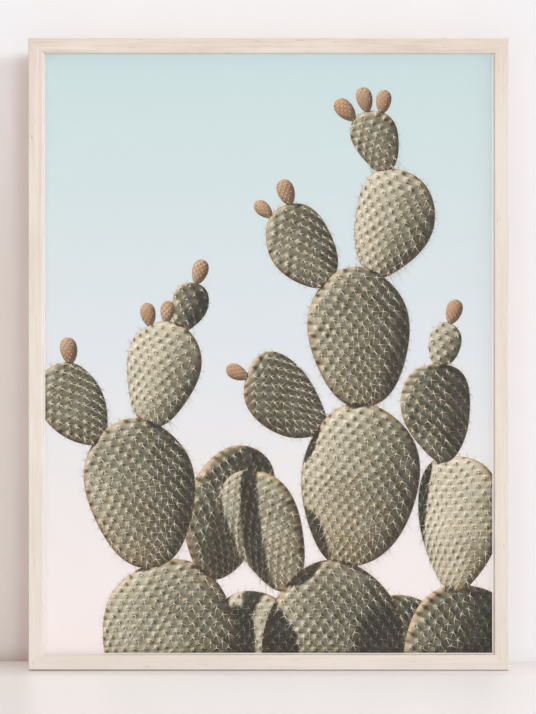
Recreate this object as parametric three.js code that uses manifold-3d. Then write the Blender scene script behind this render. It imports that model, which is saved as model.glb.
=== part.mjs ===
// Framed print: four mitred wooden rails round a sheet of clear glazing, a paper print, a filler
// board and a backing board. Turn buttons on the back hold the boards in, two sawtooth hangers
// take the wall hooks, and two bumpers keep the lower corners off the wall.
//
// Millimetres, +Z up, front face towards -Y. The origin is the middle of the bottom rail's underside.

import * as THREE from 'three';
import { mergeVertices } from 'three/addons/utils/BufferGeometryUtils.js';
import Module from 'manifold-3d';

// Outer size of the frame and the section of its rails.
const WIDTH = 481;
const HEIGHT = 632;
const DEPTH = 20;
const RAIL_WIDTH = 15;
const REBATE_WIDTH = 5;
const LIP_DEPTH = 7.5;
const FRONT_ARRIS = 1.2;
const BACK_ARRIS = 0.6;
const ARRIS_SEGMENTS = 3;
const MITRE_SETBACK = 0.2;

// Running clearance between pieces that rest on each other.
const CLEARANCE = 0.3;

// What the rebate holds, from the front: sizes of the sheets and their thicknesses.
const SHEET_WIDTH = 457;
const SHEET_HEIGHT = 610;
const GLAZING_THICKNESS = 2;
const PRINT_THICKNESS = 0.4;
const FILLER_THICKNESS = 5;
const BACKING_THICKNESS = 3.2;
const PRINT_CLEARANCE = 0.6;

// Turn buttons: a flat plate with round ends that swings on a screw.
const BUTTON_WIDTH = 9;
const BUTTON_REACH = 26;
const BUTTON_THICKNESS = 1.2;
const BUTTON_HOLE_RADIUS = 2;
const BUTTON_NOSE_RADIUS = 3;
const BUTTON_QUARTER = 0.25;

// Pan-head screws.
const SCREW_SHANK_RADIUS = 1.4;
const SCREW_SHANK_LENGTH = 11;
const SCREW_TIP_LENGTH = 2.5;
const SCREW_HEAD_RADIUS = 3.6;
const SCREW_HEAD_HEIGHT = 2;
const SCREW_HEAD_ROUNDING = 1.4;
const PILOT_CLEARANCE = 0.3;

// Sawtooth hangers: a bridged strip with teeth along its lower edge, held by a nail at each end.
const HANGER_SPREAD = 120;
const HANGER_LENGTH = 46;
const HANGER_WIDTH = 8;
const HANGER_THICKNESS = 0.9;
const HANGER_TAB = 9;
const HANGER_RAMP = 3;
const HANGER_STANDOFF = 2;
const TOOTH_COUNT = 9;
const TOOTH_PITCH = 2;
const TOOTH_DEPTH = 1.4;
const NAIL_SHANK_RADIUS = 0.8;
const NAIL_SHANK_LENGTH = 9;
const NAIL_TIP_LENGTH = 1.5;
const NAIL_HEAD_RADIUS = 1.9;
const NAIL_HEAD_HEIGHT = 0.8;
const NAIL_HEAD_FLAT_RADIUS = 1.1;

// Bumpers on the lower corners of the back.
const BUMPER_RADIUS = 4;
const BUMPER_HEIGHT = 2.4;
const BUMPER_CORNER_RADIUS = 1;
const BUMPER_INSET = 13;

const ROUND_SEGMENTS = 24;
const PILOT_SEGMENTS = 12;
const CUT_OVERRUN = 1;

const FRONT_Y = -DEPTH / 2;
const BACK_Y = DEPTH / 2;
const WOOD_BACK_WIDTH = RAIL_WIDTH - REBATE_WIDTH;
const FIXING_U = WOOD_BACK_WIDTH / 2;

const FINISHES = {
  wood: { color: 0xe8dccf, roughness: 0.7, metalness: 0 },
  glazing: { color: 0xffffff, roughness: 0.05, metalness: 0, transparent: true, opacity: 0.15 },
  paper: { color: 0xdbe3e4, roughness: 0.9, metalness: 0 },
  cardboard: { color: 0xb89468, roughness: 0.95, metalness: 0 },
  hardboard: { color: 0x8a6a4a, roughness: 0.8, metalness: 0 },
  zinc: { color: 0xb8bcc0, roughness: 0.4, metalness: 1 },
  brass: { color: 0xc9a45c, roughness: 0.35, metalness: 1 },
  rubber: { color: 0xcfcfcb, roughness: 0.5, metalness: 0 },
};

const wasm = await Module();
wasm.setup();

// Vertices closer than this are one vertex when a piece becomes a solid.
const MERGE_DISTANCE = 1e-4;

function meshOf(name, geometry, finish) {
  const mesh = new THREE.Mesh(geometry, new THREE.MeshStandardMaterial(FINISHES[finish]));
  mesh.name = name;
  return mesh;
}

function toSolid(geometry) {
  const bare = geometry.clone();
  bare.deleteAttribute('normal');
  bare.deleteAttribute('uv');
  const merged = mergeVertices(bare, MERGE_DISTANCE);
  const vertProperties = new Float32Array(merged.attributes.position.array);
  const triVerts = new Uint32Array(merged.index.array);
  return new wasm.Manifold(new wasm.Mesh({ numProp: 3, vertProperties, triVerts }));
}

function fromSolid(solid) {
  const { vertProperties, triVerts } = solid.getMesh();
  const geometry = new THREE.BufferGeometry();
  geometry.setAttribute('position', new THREE.BufferAttribute(vertProperties, 3));
  geometry.setIndex(new THREE.BufferAttribute(triVerts, 1));
  geometry.computeVertexNormals();
  return geometry;
}

function cutFrom(geometry, tools) {
  const cut = tools.reduce((solid, tool) => solid.subtract(toSolid(tool)), toSolid(geometry));
  return fromSolid(cut);
}

// A body of revolution about Y. The profile is a list of [radius, y] from the foot up to the top,
// starting and ending on the axis.
function turned(profile, segments = ROUND_SEGMENTS) {
  return new THREE.LatheGeometry(profile.map(([r, y]) => new THREE.Vector2(r, y)), segments);
}

// Points of a quarter round from the side wall at `radius` to a flat top at `top`.
function roundedShoulder(radius, top, corner, steps = 4) {
  const points = [];
  for (let i = 0; i <= steps; i += 1) {
    const angle = (i / steps) * (Math.PI / 2);
    points.push([radius - corner + corner * Math.cos(angle), top - corner + corner * Math.sin(angle)]);
  }
  return points;
}

// ---- Rails ----------------------------------------------------------------------------------

// Section of a rail: x runs inwards from the outer face, y from the front face to the back.
function railSection() {
  const s = new THREE.Shape();
  const f = FRONT_ARRIS;
  const b = BACK_ARRIS;
  s.moveTo(0, FRONT_Y + f);
  s.absarc(f, FRONT_Y + f, f, Math.PI, 1.5 * Math.PI, false);
  s.lineTo(RAIL_WIDTH - f, FRONT_Y);
  s.absarc(RAIL_WIDTH - f, FRONT_Y + f, f, 1.5 * Math.PI, 2 * Math.PI, false);
  s.lineTo(RAIL_WIDTH, FRONT_Y + LIP_DEPTH);
  s.lineTo(WOOD_BACK_WIDTH, FRONT_Y + LIP_DEPTH);
  s.lineTo(WOOD_BACK_WIDTH, BACK_Y);
  s.lineTo(b, BACK_Y);
  s.absarc(b, BACK_Y - b, b, 0.5 * Math.PI, Math.PI, false);
  s.closePath();
  return s;
}

// A rail along +Z with both ends mitred at 45 degrees and set back by a hair.
function mitredRail(length) {
  const rail = new THREE.ExtrudeGeometry(railSection(), {
    depth: length,
    bevelEnabled: false,
    curveSegments: ARRIS_SEGMENTS,
  });
  const position = rail.attributes.position;
  for (let i = 0; i < position.count; i += 1) {
    const z = position.getZ(i);
    const setback = position.getX(i) + MITRE_SETBACK;
    position.setZ(i, z + setback * (1 - (2 * z) / length));
  }
  return rail;
}

// A blind pilot hole into the back of a rail, at a distance along it.
function pilotHole(along, shankRadius, shankLength) {
  const radius = shankRadius + PILOT_CLEARANCE;
  const bottom = BACK_Y - shankLength - PILOT_CLEARANCE;
  const top = BACK_Y + CUT_OVERRUN;
  const hole = turned([[0, bottom], [radius, bottom], [radius, top], [0, top]], PILOT_SEGMENTS);
  return hole.translate(FIXING_U, 0, along);
}

// ---- Fixings --------------------------------------------------------------------------------

function turnButton() {
  const half = BUTTON_WIDTH / 2;
  const nose = BUTTON_NOSE_RADIUS;
  const tip = BUTTON_REACH;
  const plate = new THREE.Shape();
  plate.moveTo(0, -half);
  plate.lineTo(tip - nose, -half);
  plate.absarc(tip - nose, -half + nose, nose, -Math.PI / 2, 0, false);
  plate.absarc(tip - nose, half - nose, nose, 0, Math.PI / 2, false);
  plate.lineTo(0, half);
  plate.absarc(0, 0, half, Math.PI / 2, 1.5 * Math.PI, false);
  const hole = new THREE.Path();
  hole.absarc(0, 0, BUTTON_HOLE_RADIUS, 0, 2 * Math.PI, true);
  plate.holes.push(hole);
  const button = new THREE.ExtrudeGeometry(plate, {
    depth: BUTTON_THICKNESS,
    bevelEnabled: false,
    curveSegments: 8,
  });
  return button.rotateX(-Math.PI / 2);
}

// A pan-head screw along Y. y = 0 is the underside of its head.
function panScrew() {
  const shank = SCREW_SHANK_RADIUS;
  const foot = -(SCREW_SHANK_LENGTH + BUTTON_THICKNESS + CLEARANCE);
  return turned([
    [0, foot],
    [shank, foot + SCREW_TIP_LENGTH],
    [shank, 0],
    [SCREW_HEAD_RADIUS, 0],
    ...roundedShoulder(SCREW_HEAD_RADIUS, SCREW_HEAD_HEIGHT, SCREW_HEAD_ROUNDING),
    [0, SCREW_HEAD_HEIGHT],
  ]);
}

// A flat-head nail along Y. y = 0 is the underside of its head.
function nail() {
  const shank = NAIL_SHANK_RADIUS;
  const foot = -(NAIL_SHANK_LENGTH + HANGER_THICKNESS + CLEARANCE);
  return turned([
    [0, foot],
    [shank, foot + NAIL_TIP_LENGTH],
    [shank, 0],
    [NAIL_HEAD_RADIUS, 0],
    [NAIL_HEAD_RADIUS, NAIL_HEAD_HEIGHT / 2],
    [NAIL_HEAD_FLAT_RADIUS, NAIL_HEAD_HEIGHT],
    [0, NAIL_HEAD_HEIGHT],
  ], PILOT_SEGMENTS);
}

// The strip's side view, end to end along x: a tab on the wood, a ramp, the raised bridge, a ramp
// and a tab. Its width is then given along the rail's own inward direction.
function hangerStrip() {
  const half = HANGER_LENGTH / 2;
  const tab = half - HANGER_TAB;
  const bridge = tab - HANGER_RAMP;
  const thickness = HANGER_THICKNESS;
  const raised = HANGER_STANDOFF;
  const side = new THREE.Shape();
  side.moveTo(-half, 0);
  side.lineTo(-tab, 0);
  side.lineTo(-bridge, raised);
  side.lineTo(bridge, raised);
  side.lineTo(tab, 0);
  side.lineTo(half, 0);
  side.lineTo(half, thickness);
  side.lineTo(tab, thickness);
  side.lineTo(bridge, raised + thickness);
  side.lineTo(-bridge, raised + thickness);
  side.lineTo(-tab, thickness);
  side.lineTo(-half, thickness);
  const strip = new THREE.ExtrudeGeometry(side, { depth: HANGER_WIDTH, bevelEnabled: false });
  return strip.translate(0, 0, -HANGER_WIDTH / 2);
}

// The row of notches that leaves the teeth, as one comb-shaped cutter below the bridge.
function toothCutter() {
  const edge = HANGER_WIDTH / 2;
  const start = -(TOOTH_COUNT * TOOTH_PITCH) / 2;
  const comb = new THREE.Shape();
  comb.moveTo(start, edge + CUT_OVERRUN);
  comb.lineTo(start, edge);
  for (let i = 0; i < TOOTH_COUNT; i += 1) {
    comb.lineTo(start + (i + 0.5) * TOOTH_PITCH, edge - TOOTH_DEPTH);
    comb.lineTo(start + (i + 1) * TOOTH_PITCH, edge);
  }
  comb.lineTo(-start, edge + CUT_OVERRUN);
  const depth = HANGER_STANDOFF + HANGER_THICKNESS + 2 * CUT_OVERRUN;
  const cutter = new THREE.ExtrudeGeometry(comb, { depth, bevelEnabled: false });
  return cutter.rotateX(Math.PI / 2).translate(0, depth - CUT_OVERRUN, 0);
}

function nailHole(x) {
  const radius = NAIL_SHANK_RADIUS + PILOT_CLEARANCE;
  const top = HANGER_THICKNESS + CUT_OVERRUN;
  const hole = turned([[0, -CUT_OVERRUN], [radius, -CUT_OVERRUN], [radius, top], [0, top]], PILOT_SEGMENTS);
  return hole.translate(x, 0, 0);
}

const NAIL_PLACES = [-1, 1].map((end) => end * (HANGER_LENGTH - HANGER_TAB) / 2);

// A hanger in the rail's own directions: its length along z and its teeth towards the opening.
function sawtoothHanger() {
  const strip = cutFrom(hangerStrip(), [toothCutter(), ...NAIL_PLACES.map(nailHole)]);
  return strip.rotateY(Math.PI / 2);
}

function bumper() {
  return turned([
    [0, 0],
    [BUMPER_RADIUS, 0],
    ...roundedShoulder(BUMPER_RADIUS, BUMPER_HEIGHT, BUMPER_CORNER_RADIUS),
    [0, BUMPER_HEIGHT],
  ]);
}

// ---- Sides of the frame ---------------------------------------------------------------------

// Each side has its own directions: x inwards from the outer face, y to the back, z along the rail.
// The sides follow each other clockwise from the lower left corner, seen from the front. A turn
// button is named here with its place along the rail, as a share of the rail's length.
const NEAR = BUTTON_QUARTER;
const FAR = 1 - BUTTON_QUARTER;
const LEFT = -WIDTH / 2;
const RIGHT = WIDTH / 2;
const SIDES = [
  { name: 'left', length: HEIGHT, corner: [LEFT, 0], buttons: { left_low: NEAR, left_high: FAR } },
  { name: 'top', length: WIDTH, corner: [LEFT, HEIGHT], buttons: { top: 0.5 } },
  { name: 'right', length: HEIGHT, corner: [RIGHT, HEIGHT], buttons: { right_high: NEAR, right_low: FAR } },
  { name: 'bottom', length: WIDTH, corner: [RIGHT, 0], buttons: { bottom: 0.5 } },
];

function hangerPlaces(side) {
  return side.name === 'top' ? [side.length / 2 - HANGER_SPREAD, side.length / 2 + HANGER_SPREAD] : [];
}

function place(mesh, u, y, along) {
  mesh.position.set(u, y, along);
  return mesh;
}

function railWithHoles(side) {
  const screws = Object.values(side.buttons).map((at) => (
    pilotHole(at * side.length, SCREW_SHANK_RADIUS, SCREW_SHANK_LENGTH)
  ));
  const nails = hangerPlaces(side).flatMap((middle) => NAIL_PLACES.map((x) => (
    pilotHole(middle + x, NAIL_SHANK_RADIUS, NAIL_SHANK_LENGTH)
  )));
  return cutFrom(mitredRail(side.length), [...screws, ...nails]);
}

function addButtons(group, side) {
  const seat = BACK_Y + CLEARANCE;
  const headSeat = seat + BUTTON_THICKNESS + CLEARANCE;
  Object.entries(side.buttons).forEach(([label, at]) => {
    const along = at * side.length;
    group.add(place(meshOf(`turn_button_${label}`, turnButton(), 'zinc'), FIXING_U, seat, along));
    group.add(place(meshOf(`button_screw_${label}`, panScrew(), 'zinc'), FIXING_U, headSeat, along));
  });
}

function addHangers(group, side) {
  const seat = BACK_Y + CLEARANCE;
  const headSeat = seat + HANGER_THICKNESS + CLEARANCE;
  hangerPlaces(side).forEach((middle, i) => {
    group.add(place(meshOf(`hanger_${i + 1}`, sawtoothHanger(), 'brass'), FIXING_U, seat, middle));
    NAIL_PLACES.forEach((x, j) => {
      const name = `hanger_nail_${2 * i + j + 1}`;
      group.add(place(meshOf(name, nail(), 'brass'), FIXING_U, headSeat, middle + x));
    });
  });
}

function addBumpers(group, side) {
  [BUMPER_INSET, side.length - BUMPER_INSET].forEach((along, i) => {
    group.add(place(meshOf(`bumper_${i + 1}`, bumper(), 'rubber'), FIXING_U, BACK_Y + CLEARANCE, along));
  });
}

function frameSide(side, quarterTurns) {
  const group = new THREE.Group();
  group.add(meshOf(`rail_${side.name}`, railWithHoles(side), 'wood'));
  addButtons(group, side);
  addHangers(group, side);
  if (side.name === 'bottom') {
    addBumpers(group, side);
  }
  const [cornerX, cornerZ] = side.corner;
  group.position.set(cornerX, 0, cornerZ);
  group.rotation.y = quarterTurns * (Math.PI / 2);
  return group;
}

// ---- Sheets in the rebate -------------------------------------------------------------------

function sheets() {
  const layers = [
    { name: 'glazing', thickness: GLAZING_THICKNESS, gap: CLEARANCE, finish: 'glazing' },
    { name: 'print_sheet', thickness: PRINT_THICKNESS, gap: PRINT_CLEARANCE, finish: 'paper' },
    { name: 'filler_board', thickness: FILLER_THICKNESS, gap: CLEARANCE, finish: 'cardboard' },
    { name: 'backing_board', thickness: BACKING_THICKNESS, gap: CLEARANCE, finish: 'hardboard' },
  ];
  const group = new THREE.Group();
  let front = FRONT_Y + LIP_DEPTH;
  for (const layer of layers) {
    front += layer.gap;
    const sheet = new THREE.BoxGeometry(SHEET_WIDTH, layer.thickness, SHEET_HEIGHT);
    const middle = front + layer.thickness / 2;
    group.add(place(meshOf(layer.name, sheet, layer.finish), 0, middle, HEIGHT / 2));
    front += layer.thickness;
  }
  return group;
}

const framedPrint = new THREE.Group();
framedPrint.name = 'framed_print';
SIDES.forEach((side, quarterTurns) => framedPrint.add(frameSide(side, quarterTurns)));
framedPrint.add(sheets());

export default framedPrint;
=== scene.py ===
import math
import random

import bmesh
import bpy
from bpy.props import FloatProperty, FloatVectorProperty, IntProperty, PointerProperty
from bpy.types import Operator, Panel, PropertyGroup
from mathutils import Matrix, Vector, noise
from mathutils.bvhtree import BVHTree


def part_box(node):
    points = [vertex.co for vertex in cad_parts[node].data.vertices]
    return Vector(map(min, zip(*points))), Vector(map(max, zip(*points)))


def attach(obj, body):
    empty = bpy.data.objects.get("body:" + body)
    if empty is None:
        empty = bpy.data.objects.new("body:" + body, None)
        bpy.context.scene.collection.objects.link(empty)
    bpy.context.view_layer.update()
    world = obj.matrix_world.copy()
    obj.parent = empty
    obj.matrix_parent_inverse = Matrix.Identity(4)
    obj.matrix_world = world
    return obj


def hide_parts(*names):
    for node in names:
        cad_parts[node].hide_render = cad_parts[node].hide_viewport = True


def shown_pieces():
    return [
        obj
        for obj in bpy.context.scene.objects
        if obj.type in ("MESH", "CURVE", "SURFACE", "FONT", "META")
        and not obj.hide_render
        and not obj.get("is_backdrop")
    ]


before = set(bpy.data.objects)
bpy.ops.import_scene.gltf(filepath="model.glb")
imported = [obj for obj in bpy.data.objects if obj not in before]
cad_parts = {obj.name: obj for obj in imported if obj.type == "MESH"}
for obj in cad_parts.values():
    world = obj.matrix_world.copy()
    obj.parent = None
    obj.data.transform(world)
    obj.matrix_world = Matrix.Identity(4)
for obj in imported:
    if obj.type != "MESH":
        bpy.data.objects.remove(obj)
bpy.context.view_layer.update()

bl_info = {
    "name": "Framed print",
    "version": (1, 0, 0),
    "blender": (4, 5, 0),
    "location": "3D View > Sidebar > Framed print",
    "description": "A whitewashed wooden picture frame with a botanical print, its back and its fittings",
    "category": "Object",
}

MM = 0.001

# The gap between pieces that rest on each other, and the rails' width beside the rebate.
RUNNING_GAP = 0.3 * MM
WALL_WIDTH = 10 * MM

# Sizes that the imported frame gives, in metres.
RAIL_LOW, RAIL_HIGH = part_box("rail_left")
OUTER_LOW = Vector((RAIL_LOW.x, RAIL_LOW.y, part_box("rail_bottom")[0].z))
OUTER_HIGH = Vector((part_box("rail_right")[1].x, RAIL_HIGH.y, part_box("rail_top")[1].z))
FRAME_WIDTH = OUTER_HIGH.x - OUTER_LOW.x
FRAME_HEIGHT = OUTER_HIGH.z - OUTER_LOW.z
FRONT, BACK = OUTER_LOW.y, OUTER_HIGH.y
LEFT, TOP = OUTER_LOW.x, OUTER_HIGH.z
RAIL_WIDTH = RAIL_HIGH.x - RAIL_LOW.x
LIP_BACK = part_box("glazing")[0].y - RUNNING_GAP
PAPER_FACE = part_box("print_sheet")[0].y
# Left, bottom, right and top of the opening that the print shows in.
SIGHT = (LEFT + RAIL_WIDTH, OUTER_LOW.z + RAIL_WIDTH, OUTER_HIGH.x - RAIL_WIDTH, TOP - RAIL_WIDTH)
MIDDLE = Vector((0, 0, FRAME_HEIGHT / 2))

# The four sides: name, corner where the rail starts, length. Each turns a quarter more than the last.
SIDES = (
    ("left", (LEFT, OUTER_LOW.z), FRAME_HEIGHT),
    ("top", (LEFT, TOP), FRAME_WIDTH),
    ("right", (OUTER_HIGH.x, TOP), FRAME_HEIGHT),
    ("bottom", (OUTER_HIGH.x, OUTER_LOW.z), FRAME_WIDTH),
)
# How much whiter each rail is drawn at its start and at its end, from 0 to 1: the side rails are whiter
# towards the bottom, and the top rail is the least white.
RAIL_WHITENING = {"left": (1.0, 0.25), "top": (0.0, 0.0), "right": (0.35, 0.75), "bottom": (0.9, 0.9)}
BUTTONS = ("left_low", "left_high", "top", "right_high", "right_low", "bottom")
# How far along the grain each rail was cut from the one before, so that no two show the same figure.
GRAIN_OFFSET = 1.7
# How far the sky's ink, and then the nearest print layer, stand out from the paper.
SKY_INK = 0.02 * MM
FIRST_LAYER = 0.03 * MM
PICTURE_RELIEF = 0.46 * MM
# How far the picture runs on under the top rail's lip.
UNDER_LIP = 3 * MM


# ---- Settings -------------------------------------------------------------------------------


def number_setting(name, description, value, unit="NONE"):
    return FloatProperty(name=name, description=description, default=value, unit=unit, precision=5)


def length_setting(name, description, millimetres):
    return number_setting(name, description, millimetres * MM, "LENGTH")


def colour_setting(name, description, *levels):
    """A display colour, given by its red, green and blue levels up to 255."""
    about = {"name": name, "description": description, "default": [level / 255 for level in levels]}
    return FloatVectorProperty(**about, subtype="COLOR_GAMMA", min=0, max=1)


class RailSettings(PropertyGroup):
    front_arris: length_setting("Front arris", "Rounding along the two front edges", 1.2)
    back_arris: length_setting("Back arris", "Rounding along the outer back edge", 0.6)
    arris: length_setting("Small arris", "Rounding along the rebate's edges", 0.25)
    mitre_gap: length_setting("Mitre gap", "How far each mitred end is set back", 0.02)
    mitre_arris: length_setting("Mitre arris", "Rounding of the mitred ends, which shows as a hairline", 0.12)
    limed: colour_setting("Limed wood", "Wood under the whitewash", 231, 221, 211)
    timber: colour_setting("Bare wood", "Wood where the whitewash is thin", 214, 200, 185)
    fleck: colour_setting("Fleck", "Small grey-brown pores", 176, 160, 145)
    # The colour that the rails are drawn towards where they are whitest, towards the bottom of the frame.
    whitest: colour_setting("Whitest wash", "Where the whitewash lies thickest", 235, 231, 226)


class PictureSettings(PropertyGroup):
    side_margin: length_setting("Side margin", "White paper that shows at the left and right", 0.9)
    foot_margin: length_setting("Foot margin", "White paper that shows at the bottom", 0.7)
    paper: colour_setting("Paper", "Unprinted paper", 248, 246, 242)
    sky_top: colour_setting("Sky, top", "Ground colour at the top", 198, 220, 222)
    sky_high: colour_setting("Sky, high", "Ground colour a quarter down", 207, 223, 225)
    sky_middle: colour_setting("Sky, middle", "Ground colour half way", 219, 226, 231)
    sky_low: colour_setting("Sky, low", "Ground colour three quarters down", 234, 231, 231)
    sky_foot: colour_setting("Sky, foot", "Ground colour at the bottom", 244, 235, 234)


class PlantSettings(PropertyGroup):
    areole_pitch: length_setting("Areole pitch", "Distance between the tufts of spines", 11)
    spine: length_setting("Spine", "Length of a spine on a full-grown pad", 11)
    divisions: IntProperty(name="Divisions", description="Cells along a sixth of a shell", default=32)
    sunlit: colour_setting("Sunlit skin", "Pads in full sun", 240, 232, 214)
    bright: colour_setting("Bright skin", "Pads turned a little from the sun", 198, 190, 165)
    middle: colour_setting("Middle skin", "Pads half turned from the sun", 119, 113, 89)
    dim: colour_setting("Dim skin", "Pads in light shade", 63, 59, 43)
    dark: colour_setting("Dark skin", "Pads in deep shade", 30, 27, 19)
    cork: colour_setting("Cork", "Old skin at the foot of the plant", 190, 150, 98)
    felt: colour_setting("Felt", "Middle of each tuft", 132, 104, 68)
    spine_lit: colour_setting("Spine in sun", "Spines in full sun", 244, 236, 212)
    spine_half: colour_setting("Spine at the rim", "Spines seen against the sky", 176, 162, 132)
    spine_dark: colour_setting("Spine in shade", "Spines in shade", 142, 130, 102)
    spine_shadow: colour_setting("Spine shadow", "Shadow of a spine on the skin", 116, 112, 84)
    fruit: colour_setting("Fruit", "Fruit in full sun", 212, 166, 122)
    fruit_dark: colour_setting("Fruit in shade", "Shaded side of a fruit", 88, 58, 42)


class FittingSettings(PropertyGroup):
    edge: length_setting("Edge rounding", "Rounding of the pressed edges", 0.18)
    zinc: colour_setting("Zinc", "Zinc-plated steel", 176, 177, 178)
    brass: colour_setting("Brass", "Brass-plated steel", 205, 172, 112)
    rubber: colour_setting("Rubber", "Corner bumpers", 205, 204, 200)
    backing: colour_setting("Backing board", "Fibre board that closes the back", 186, 154, 116)
    card: colour_setting("Filler card", "Card between the print and the backing", 184, 150, 108)


class StageSettings(PropertyGroup):
    distance: number_setting("Camera distance", "From the frame's front face", 2.0, "LENGTH")
    height: number_setting("Camera height", "Above the floor", 0.313, "LENGTH")
    aside: number_setting("Camera aside", "To the right of the middle", -0.00075, "LENGTH")
    focal: number_setting("Focal length", "Of the camera, in millimetres", 100.84)
    wall_gap: number_setting("Wall gap", "From the frame's front face to the wall", 0.056, "LENGTH")
    horizon: number_setting("Horizon light", "Strength of the light from the side", 0.45)
    zenith: number_setting("Zenith light", "Strength of the light from above", 0.80)
    key: number_setting("Key", "Strength of the soft light at the right", 1.84)
    top: number_setting("Top light", "Strength of the soft light overhead", 0.91)
    back: number_setting("Back light", "Strength of the soft light behind", 0.9)
    key_azimuth: number_setting("Key azimuth", "Degrees to the right", 50)
    key_elevation: number_setting("Key elevation", "Degrees up, for the light on the room", 11)
    wall: colour_setting("Wall", "Painted wall", 241, 234, 236)
    floor: colour_setting("Floor", "Painted floor", 249, 245, 246)


# ---- Finishes -------------------------------------------------------------------------------


def linear(colour):
    """A display colour as linear light."""
    return tuple(c / 12.92 if c <= 0.04045 else ((c + 0.055) / 1.055) ** 2.4 for c in colour)


def tone(colour, *factors):
    """The colour times one factor, or times one for each of red, green and blue, and never over white."""
    return tuple(min(1, c * factors[i % len(factors)]) for i, c in enumerate(colour))


class Nodes:
    """A node tree built node by node. Each call adds one kind of node and gives its output."""

    def __init__(self, tree):
        self.tree = tree

    def feed(self, socket, value):
        if isinstance(value, bpy.types.NodeSocket):
            self.tree.links.new(value, socket)
        elif isinstance(value, (tuple, list)) and len(value) == 3 and socket.type == "RGBA":
            socket.default_value = (*value, 1)
        else:
            socket.default_value = value

    def node(self, kind, *inputs, **settings):
        made = self.tree.nodes.new(kind)
        for key, value in settings.items():
            setattr(made, key, value)
        for key, value in inputs:
            self.feed(made.inputs[key], value)
        return made

    def coordinates(self, name):
        return self.node("ShaderNodeTexCoord").outputs[name]

    def stretch(self, vector, x, y, z):
        return self.node("ShaderNodeVectorMath", (0, vector), (1, (x, y, z)), operation="MULTIPLY").outputs[0]

    def split(self, vector):
        return self.node("ShaderNodeSeparateXYZ", (0, vector)).outputs

    def join(self, x, y, z):
        return self.node("ShaderNodeCombineXYZ", (0, x), (1, y), (2, z)).outputs[0]

    def noise(self, vector, scale, detail=2.0, rough=0.5, warp=0.0):
        size = ("Vector", vector), ("Scale", scale), ("Detail", detail)
        shape = ("Roughness", rough), ("Distortion", warp)
        return self.node("ShaderNodeTexNoise", *size, *shape).outputs["Fac"]

    def math(self, operation, *values, clamp=False):
        made = self.node("ShaderNodeMath", *enumerate(values), operation=operation, use_clamp=clamp)
        return made.outputs[0]

    def chain(self, operation, result, *values):
        for value in values:
            result = self.math(operation, result, value)
        return result

    def add(self, *values):
        return self.chain("ADD", *values)

    def less(self, *values):
        return self.chain("SUBTRACT", *values)

    def times(self, *values):
        return self.chain("MULTIPLY", *values)

    def size(self, value):
        return self.math("ABSOLUTE", value)

    def remap(self, value, low, high, to_low=0.0, to_high=1.0, kind="LINEAR"):
        inputs = enumerate((value, low, high, to_low, to_high))
        return self.node("ShaderNodeMapRange", *inputs, interpolation_type=kind).outputs[0]

    def fade(self, value, none, full):
        """A smooth rise from 0 at none to 1 at full, which may lie on either side of each other."""
        return self.remap(value, none, full, kind="SMOOTHSTEP")

    def mix(self, share, first, second, blend="MIX"):
        inputs = (0, share), (6, first), (7, second)
        return self.node("ShaderNodeMix", *inputs, data_type="RGBA", blend_type=blend).outputs[2]

    def ramp(self, value, colours):
        """A blend through evenly spaced colours."""
        made = self.node("ShaderNodeValToRGB", (0, value))
        elements = made.color_ramp.elements
        while len(elements) < len(colours):
            elements.new(0.5)
        for number, (element, colour) in enumerate(zip(elements, colours)):
            element.position = number / (len(colours) - 1)
            element.color = (*linear(colour), 1)
        return made.outputs[0]


class Finish(Nodes):
    """A material's nodes round its one main shader."""

    def __init__(self, name):
        self.material = bpy.data.materials.new(name)
        self.material.use_nodes = True
        super().__init__(self.material.node_tree)
        self.shader = self.tree.nodes["Principled BSDF"]

    def set(self, **inputs):
        for key, value in inputs.items():
            self.feed(self.shader.inputs[key.replace("_", " ")], value)

    def place(self):
        return self.coordinates("Object")

    def attribute(self, name, output="Vector"):
        return self.node("ShaderNodeAttribute", attribute_name=name).outputs[output]

    def bump(self, height, distance, strength):
        inputs = ("Height", height), ("Distance", distance), ("Strength", strength)
        self.set(Normal=self.node("ShaderNodeBump", *inputs).outputs[0])


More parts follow.
